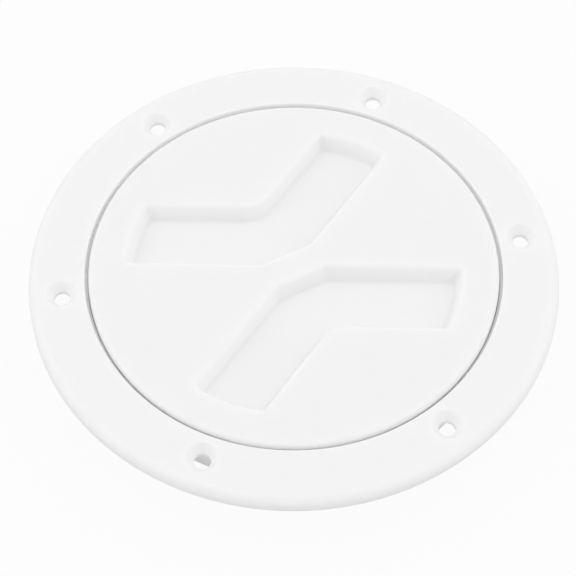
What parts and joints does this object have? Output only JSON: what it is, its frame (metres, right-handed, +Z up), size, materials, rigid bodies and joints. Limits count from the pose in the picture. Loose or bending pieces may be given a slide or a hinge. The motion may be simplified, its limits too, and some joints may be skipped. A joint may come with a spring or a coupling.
{
  "type": "deck inspection plate",
  "caption": "Round screw-down deck inspection plate: a countersunk mounting ring with a threaded neck, a flush screw lid with V-shaped finger recesses, and a seal ring.",
  "frame": {"origin": "centre of the screw circle, in the deck's plane, which is the underside of the flange", "axes": "+Z up out of the deck along the thread's axis, +X towards the first screw hole"},
  "size_m": [0.142, 0.142, 0.0208],
  "materials": {
    "white_plastic": "moulded white plastic with a soft gloss",
    "black_rubber": "smooth matt rubber, lightly greased"
  },
  "bodies": {
    "mounting_ring": {"mounting_ring": "white_plastic"},
    "seal_ring": {"seal_ring": "black_rubber"},
    "screw_lid": {"screw_lid": "white_plastic"}
  },
  "joints": [
    {"name": "lid_rise", "type": "slide", "parent": "mounting_ring", "child": "seal_ring", "axis": [0, 0, 1], "range_m": [0, 0.006]},
    {"name": "lid_turn", "type": "hinge", "parent": "seal_ring", "child": "screw_lid", "pos_m": [0, 0, 0], "axis": [0, 0, 1], "range_deg": [0, 360]}
  ],
  "couplings": [
    {"joint": "lid_rise", "follows": "lid_turn", "m_per_rad": 0.00095492}
  ]
}
